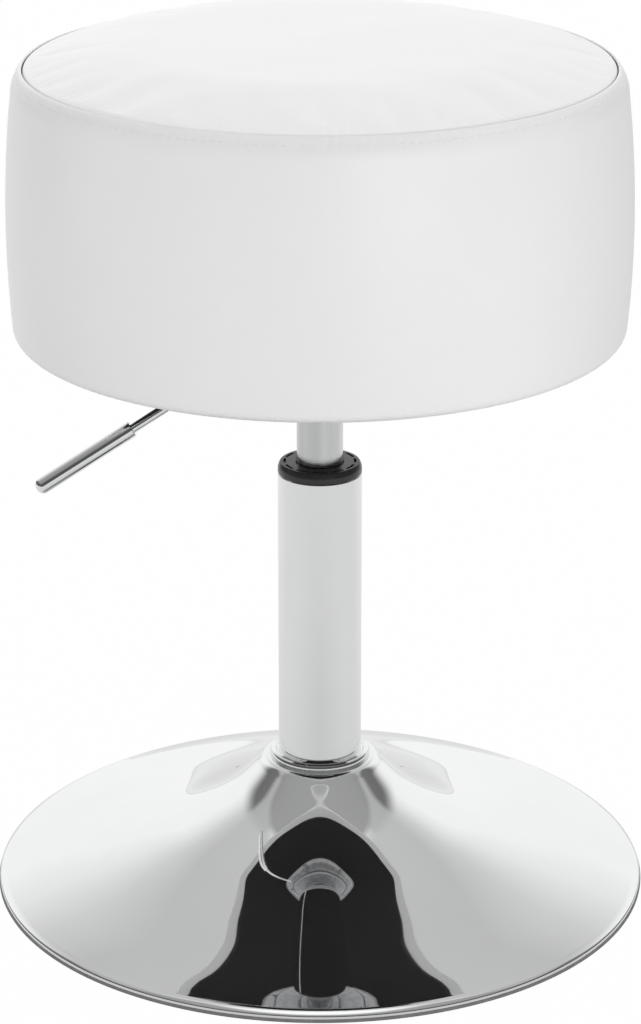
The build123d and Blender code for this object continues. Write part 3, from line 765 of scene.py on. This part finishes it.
leather, place = new_material("white faux leather")
pores = place.node("ShaderNodeTexVoronoi", {}, {"Vector": place, "Scale": 1100.0}, "Distance")
creases = mottle(place, 420, 4.0)
tone = mottle(place, 9)
surface(place, {
    "Base Color": shades(tone, (0.835, 0.835, 0.84), (0.855, 0.855, 0.86)),
    "Roughness": 0.3 + 0.12 * creases,
    "Normal": relief(0.6 * pores + 0.4 * creases, 0.00006),
})


def reshaped(made, move):
    """Moves a piece's vertices: move takes angle, radius and height and gives the last two."""
    points = np.empty(len(made.data.vertices) * 3)
    made.data.vertices.foreach_get("co", points)
    points = points.reshape(-1, 3)
    angle = np.arctan2(points[:, 1], points[:, 0])
    radius, height = move(angle, np.hypot(points[:, 0], points[:, 1]) * 1000, points[:, 2] * 1000)
    points = np.stack([radius * np.cos(angle), radius * np.sin(angle), height], axis=1) / 1000
    made.data.vertices.foreach_set("co", points.ravel())
    made.data.update()


def hump(offset, width):
    """1 where the offset is 0, and soon 0 past the width on both sides."""
    return np.exp(-(offset / width) ** 2)


def puckers(angle):
    """Uneven gathers along a sewn edge, about from -1 to 1."""
    return sum(np.sin(count * angle + phase) for count, phase in waves) / 3


def sewn_side(angle, radius, height):
    """Stitch channel with needle holes, gathers above it, the back seam and slack in the band."""
    outside = radius > band_inside
    needles = channel_depth + needle_depth * np.cos(stitch_count * angle)
    channel = needles * hump(height - stitch_row[1], channel_width)
    gather = gather_depth * hump(height - gather_height, gather_width) * puckers(angle)
    from_seam = (angle - back_seam) * radius
    lips = seam_lip * hump(np.abs(from_seam) - lip_offset, lip_width)
    seam = seam_depth * (hump(from_seam, seam_width) - lips)
    loose = np.clip((height - band_heights[0]) / band_fades[0], 0, 1)
    loose = loose * np.clip((band_heights[1] - height) / band_fades[1], 0, 1)
    slack = 0.35 * np.sin(3 * angle + 0.6) + 0.25 * np.sin(5 * angle + 2.1 + height / 60)
    return radius + outside * (gather - channel - seam + slack_depth * slack * loose), height


shape = turned(side_section, stitch_steps * stitch_count)
side_cushion = piece("leather_side_cushion", shape, leather)
reshaped(side_cushion, sewn_side)
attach(side_cushion, "seat")
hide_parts("side_cover", "side_foam")


# Top cushion: a crowned foam pad under a disc of the same faux leather, sewn to the band.
# Cloth pressure swells the leather from a lower crown, and the seam holds its rim down.

pad_cells = 64
pad_rim = (169.8, 516.7)
pad_crown = 9.2
crown_power = 14.0
rim_crowding = 1.15
pad_edge = [
    (171.1, 515.9), (171.7, 515.0), (171.85, 514.1), (171.0, 512.2), (168.2, 506), (160, 500.6),
]
held_margin = 1
most_swell = 4.0
swell_frames = 20
dent_size = (52, 38)
dent_layer = 3.7
dent_depth = 0.9
dent_edge, dent_fade = 168, 40
rim_gather, rim_gather_width = 165, 7
rim_gather_depth = 0.12

shape = bmesh.new()
bmesh.ops.create_grid(shape, x_segments=pad_cells, y_segments=pad_cells, size=1)
for vertex in shape.verts:
    x, y = vertex.co.x, vertex.co.y
    vertex.co.x, vertex.co.y = x * sqrt(1 - y * y / 2), y * sqrt(1 - x * x / 2)
    spread = max(vertex.co.length, 1e-6)
    vertex.co *= (1 - max(0, 1 - spread) ** rim_crowding) / spread * pad_rim[0] / 1000
    rise = 1 - (vertex.co.length * 1000 / pad_rim[0]) ** crown_power
    vertex.co.z = (pad_rim[1] + pad_crown * rise) / 1000
rim = open_edges(shape)
for radius, height in pad_edge:
    rim, ring = ring_of(bmesh.ops.extrude_edge_only(shape, edges=rim)["geom"])
    for vertex in ring:
        vertex.co = (vertex.co.xy.normalized() * radius).to_3d() / 1000
        vertex.co.z = height / 1000
bmesh.ops.recalc_face_normals(shape, faces=shape.faces)
top_cushion = piece("leather_top_cushion", shape, leather)


def swollen(made, held):
    """Cloth pressure on a piece: held vertices stay, no other moves further than most_swell."""
    group = made.vertex_groups.new(name="held")
    group.add(held, 1.0, "REPLACE")
    cloth = made.modifiers.new("pressure", "CLOTH")
    cloth.settings.quality = 6
    cloth.settings.mass = 0.3
    cloth.settings.tension_stiffness = 25
    cloth.settings.compression_stiffness = 25
    cloth.settings.shear_stiffness = 10
    cloth.settings.bending_stiffness = 2
    cloth.settings.vertex_group_mass = group.name
    cloth.settings.use_pressure = True
    cloth.settings.uniform_pressure_force = 4
    cloth.settings.effector_weights.gravity = 0
    cloth.collision_settings.use_collision = False
    for frame_number in range(1, swell_frames + 1):
        bpy.context.scene.frame_set(frame_number)
    blown = made.evaluated_get(bpy.context.evaluated_depsgraph_get()).data
    for vertex, moved in zip(made.data.vertices, blown.vertices):
        step = moved.co - vertex.co
        vertex.co += step * min(1, most_swell / 1000 / max(step.length, 1e-9))
    made.modifiers.remove(cloth)
    made.vertex_groups.remove(group)
    bpy.context.scene.frame_set(1)


swollen(top_cushion, [
    vertex.index for vertex in top_cushion.data.vertices
    if vertex.co.z < pad_rim[1] / 1000 + 1e-5
    or vertex.co.xy.length > (pad_rim[0] - held_margin) / 1000
])
subdivided(top_cushion, levels=2)
evaluated = top_cushion.evaluated_get(bpy.context.evaluated_depsgraph_get())
smooth = bpy.data.meshes.new_from_object(evaluated)
top_cushion.modifiers.clear()
shape = bmesh.new()
shape.from_mesh(smooth)
bmesh.ops.holes_fill(shape, edges=open_edges(shape), sides=0)
shape.to_mesh(smooth)
shape.free()
top_cushion.data = smooth


def sewn_top(angle, radius, height):
    """Shallow dents where the pad was sat on, and gathers that fade in from the seam."""
    above = np.clip((height - gather_height) / 3, 0, 1)
    x, y = radius * np.cos(angle) / dent_size[0], radius * np.sin(angle) / dent_size[1]
    dents = dent_depth * np.array([noise.noise((a, b, dent_layer)) for a, b in zip(x, y)])
    inside = np.clip((dent_edge - radius) / dent_fade, 0, 1)
    gather = rim_gather_depth * hump(radius - rim_gather, rim_gather_width) * puckers(angle)
    return radius, height + above * (dents * inside + gather)


reshaped(top_cushion, sewn_top)
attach(top_cushion, "seat")
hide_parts("top_cover", "top_pad")


# Top stitching: one row of pale thread below the seam, sewn through the band and the seam
# allowance behind it, each stitch lying in the channel between two needle holes.

stitch_lean = 29
stitch_slant = 5
stitch_size = (0.34, 1.9, 0.3)
stitch_sink = (0.12, 0.08)

thread, place = new_material("pale thread")
twist = mottle(place, 2600)
surface(place, {
    "Base Color": shades(twist, (0.76, 0.76, 0.75), (0.86, 0.86, 0.85)),
    "Roughness": 0.6 + 0.2 * twist,
    "Normal": relief(twist, 0.00008),
})

in_channel = at(stitch_row[0] - stitch_sink[0], stitch_row[1] - stitch_sink[1])
leaning = Matrix.Rotation(radians(-stitch_lean), 4, "Y")
leaning = leaning @ Matrix.Rotation(radians(stitch_slant), 4, "X")
drawn_out = Matrix.Diagonal((*stitch_size, 1)) @ Matrix.Rotation(pi / 2, 4, "X")
shape = bmesh.new()
bmesh.ops.create_uvsphere(
    shape, u_segments=6, v_segments=5, radius=0.001, matrix=in_channel @ leaning @ drawn_out
)
copies_round(shape, stitch_count, azimuth=0)
stitches = piece("thread_top_stitches", shape, thread)
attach(stitches, "seat")


# Studio: a plain pale floor in a white room whose darker walls only the chrome mirrors. A
# wide lamp hangs over the back, the key stands at the front right and a fill at the left,
# with two weak fills, and the camera has the photograph's height and angle.

floor_drop = 0.0004
floor_half = 9
floor_white = 0.99
floor_mirrored = 0.44
floor_behind = 0.24
behind_range = (0.1, 0.8)
side_range = (-0.03, 0.04)
backdrop_lean = 0.9
backdrop_range = (0.81, 0.94)
backdrop_levels = [
    (0.0, 0.98), (0.4, 0.97), (0.5, 0.86), (0.6, 0.67), (0.7, 0.55), (0.85, 0.57), (1.0, 0.55),
]
camera_side_levels = [
    (0.0, 0.1), (0.42, 0.08), (0.57, 0.26), (0.8, 0.35), (0.935, 0.37), (0.97, 1.05), (1.0, 1.15),
]
side_levels = [(0.0, 0.1), (0.5, 0.16), (0.63, 0.18), (0.68, 0.46), (0.85, 0.5), (1.0, 1.15)]
seat_middle = (0, 0, 0.44)
camera_place = (0, -1.9108, 0.9528)
camera_tilt = 20.48


def ray_is(place, kind):
    """1 for the rays of a kind, such as Camera, and 0 for all others."""
    return place.node("ShaderNodeLightPath", {}, {}, f"Is {kind} Ray")


def between(value, low, high, **settings):
    """The way of a value from low to high, as 0 to 1."""
    inputs = {"Value": value, "From Min": low, "From Max": high}
    return value.node("ShaderNodeMapRange", settings, inputs)


def either(factor, first, second):
    """The first shader where the factor is 0, and the second where it is 1."""
    return factor.node("ShaderNodeMixShader", {}, {0: factor, 1: first, 2: second})


def blended(factor, first, second):
    """A colour from the first to the second; 6, 7 and 2 are the Mix node's colour sockets."""
    inputs = {0: factor, 6: first, 7: second}
    return factor.node("ShaderNodeMix", {"data_type": "RGBA"}, inputs, 2)


def levels(height, stops):
    """Grey levels of a wall of the studio by height, from the horizon to the zenith."""
    stops = [(position, (level, level, level, 1)) for position, level in stops]
    return height.node("ShaderNodeValToRGB", {"stops": stops}, {"Fac": height})


floor_finish, place = new_material("pale floor")
matt = place.node("ShaderNodeBsdfDiffuse", {}, {"Color": (0.5, 0.5, 0.5, 1)})
white = place.node("ShaderNodeEmission", {}, {"Color": (1, 1, 1, 1), "Strength": 1.0})
clear = place.node("ShaderNodeBsdfTransparent", {}, {})
behind = between(along(place, "Y"), *behind_range)
mirrored = ray_is(place, "Glossy") + ray_is(place, "Transmission")
lift = floor_white * ray_is(place, "Camera")
lift = lift + (floor_mirrored + floor_behind * behind) * mirrored
from_below = place.node("ShaderNodeNewGeometry", {}, {}, "Backfacing")
floor_look = either(from_below, either(lift, matt, white), clear)
place.node("ShaderNodeOutputMaterial", {}, {"Surface": floor_look})
shape = bmesh.new()
bmesh.ops.create_grid(
    shape, x_segments=1, y_segments=1, size=floor_half,
    matrix=Matrix.Translation((0, 0, -floor_drop)),
)
floor = piece("floor", shape, floor_finish)

world = bpy.data.worlds.new("studio")
world.use_nodes = True
tree = world.node_tree
tree.nodes.clear()
direction = Socket(tree, tree.nodes.new("ShaderNodeTexCoord").outputs["Generated"])
upward = along(direction, "Z")
backward = along(direction, "Y")
sideways = between(backward, *side_range)
leant = backward + backdrop_lean * upward
turn = between(leant, *backdrop_range, interpolation_type="SMOOTHSTEP")
walls = blended(sideways, levels(upward, camera_side_levels), levels(upward, side_levels))
walls = blended(turn, walls, levels(upward, backdrop_levels))
backdrop = blended(ray_is(direction, "Camera"), walls, (1, 1, 1, 1))
glow = direction.node("ShaderNodeBackground", {}, {"Color": backdrop, "Strength": 1.0})
direction.node("ShaderNodeOutputWorld", {}, {"Surface": glow})
bpy.context.scene.world = world


def soft_lamp(name, size, power, location, target):
    """A square lamp that lights the object and isn't mirrored in its chrome."""
    lamp = bpy.data.lights.new(name, "AREA")
    lamp.size = size
    lamp.energy = power
    holder = bpy.data.objects.new(name, lamp)
    holder.location = location
    way = Vector(target) - Vector(location)
    holder.rotation_euler = way.to_track_quat("-Z", "Y").to_euler()
    holder.visible_glossy = False
    holder.visible_camera = False
    bpy.context.scene.collection.objects.link(holder)


soft_lamp("overhead", size=2.2, power=45, location=(0, 1.5, 2.6), target=(0, 0, 0.5))
soft_lamp("right_key", size=1.4, power=52, location=(1.19, -2.67, 0.72), target=seat_middle)
soft_lamp("left_fill", size=1.4, power=29, location=(-2.65, -0.23, 0.72), target=seat_middle)
soft_lamp("right_fill", size=1.6, power=4, location=(2.65, 0.23, 1.2), target=(0, 0, 0.4))
soft_lamp("rear_fill", size=1.4, power=5, location=(0, 2.7, 0.72), target=seat_middle)

camera = bpy.data.cameras.new("camera")
camera.lens = 118.08
camera.sensor_width = 36
camera.shift_x = 0.0006
viewer = bpy.data.objects.new("camera", camera)
viewer.location = camera_place
viewer.rotation_euler = (radians(90 - camera_tilt), 0, 0)
bpy.context.scene.collection.objects.link(viewer)
bpy.context.scene.camera = viewer
bpy.context.scene.view_settings.view_transform = "Standard"
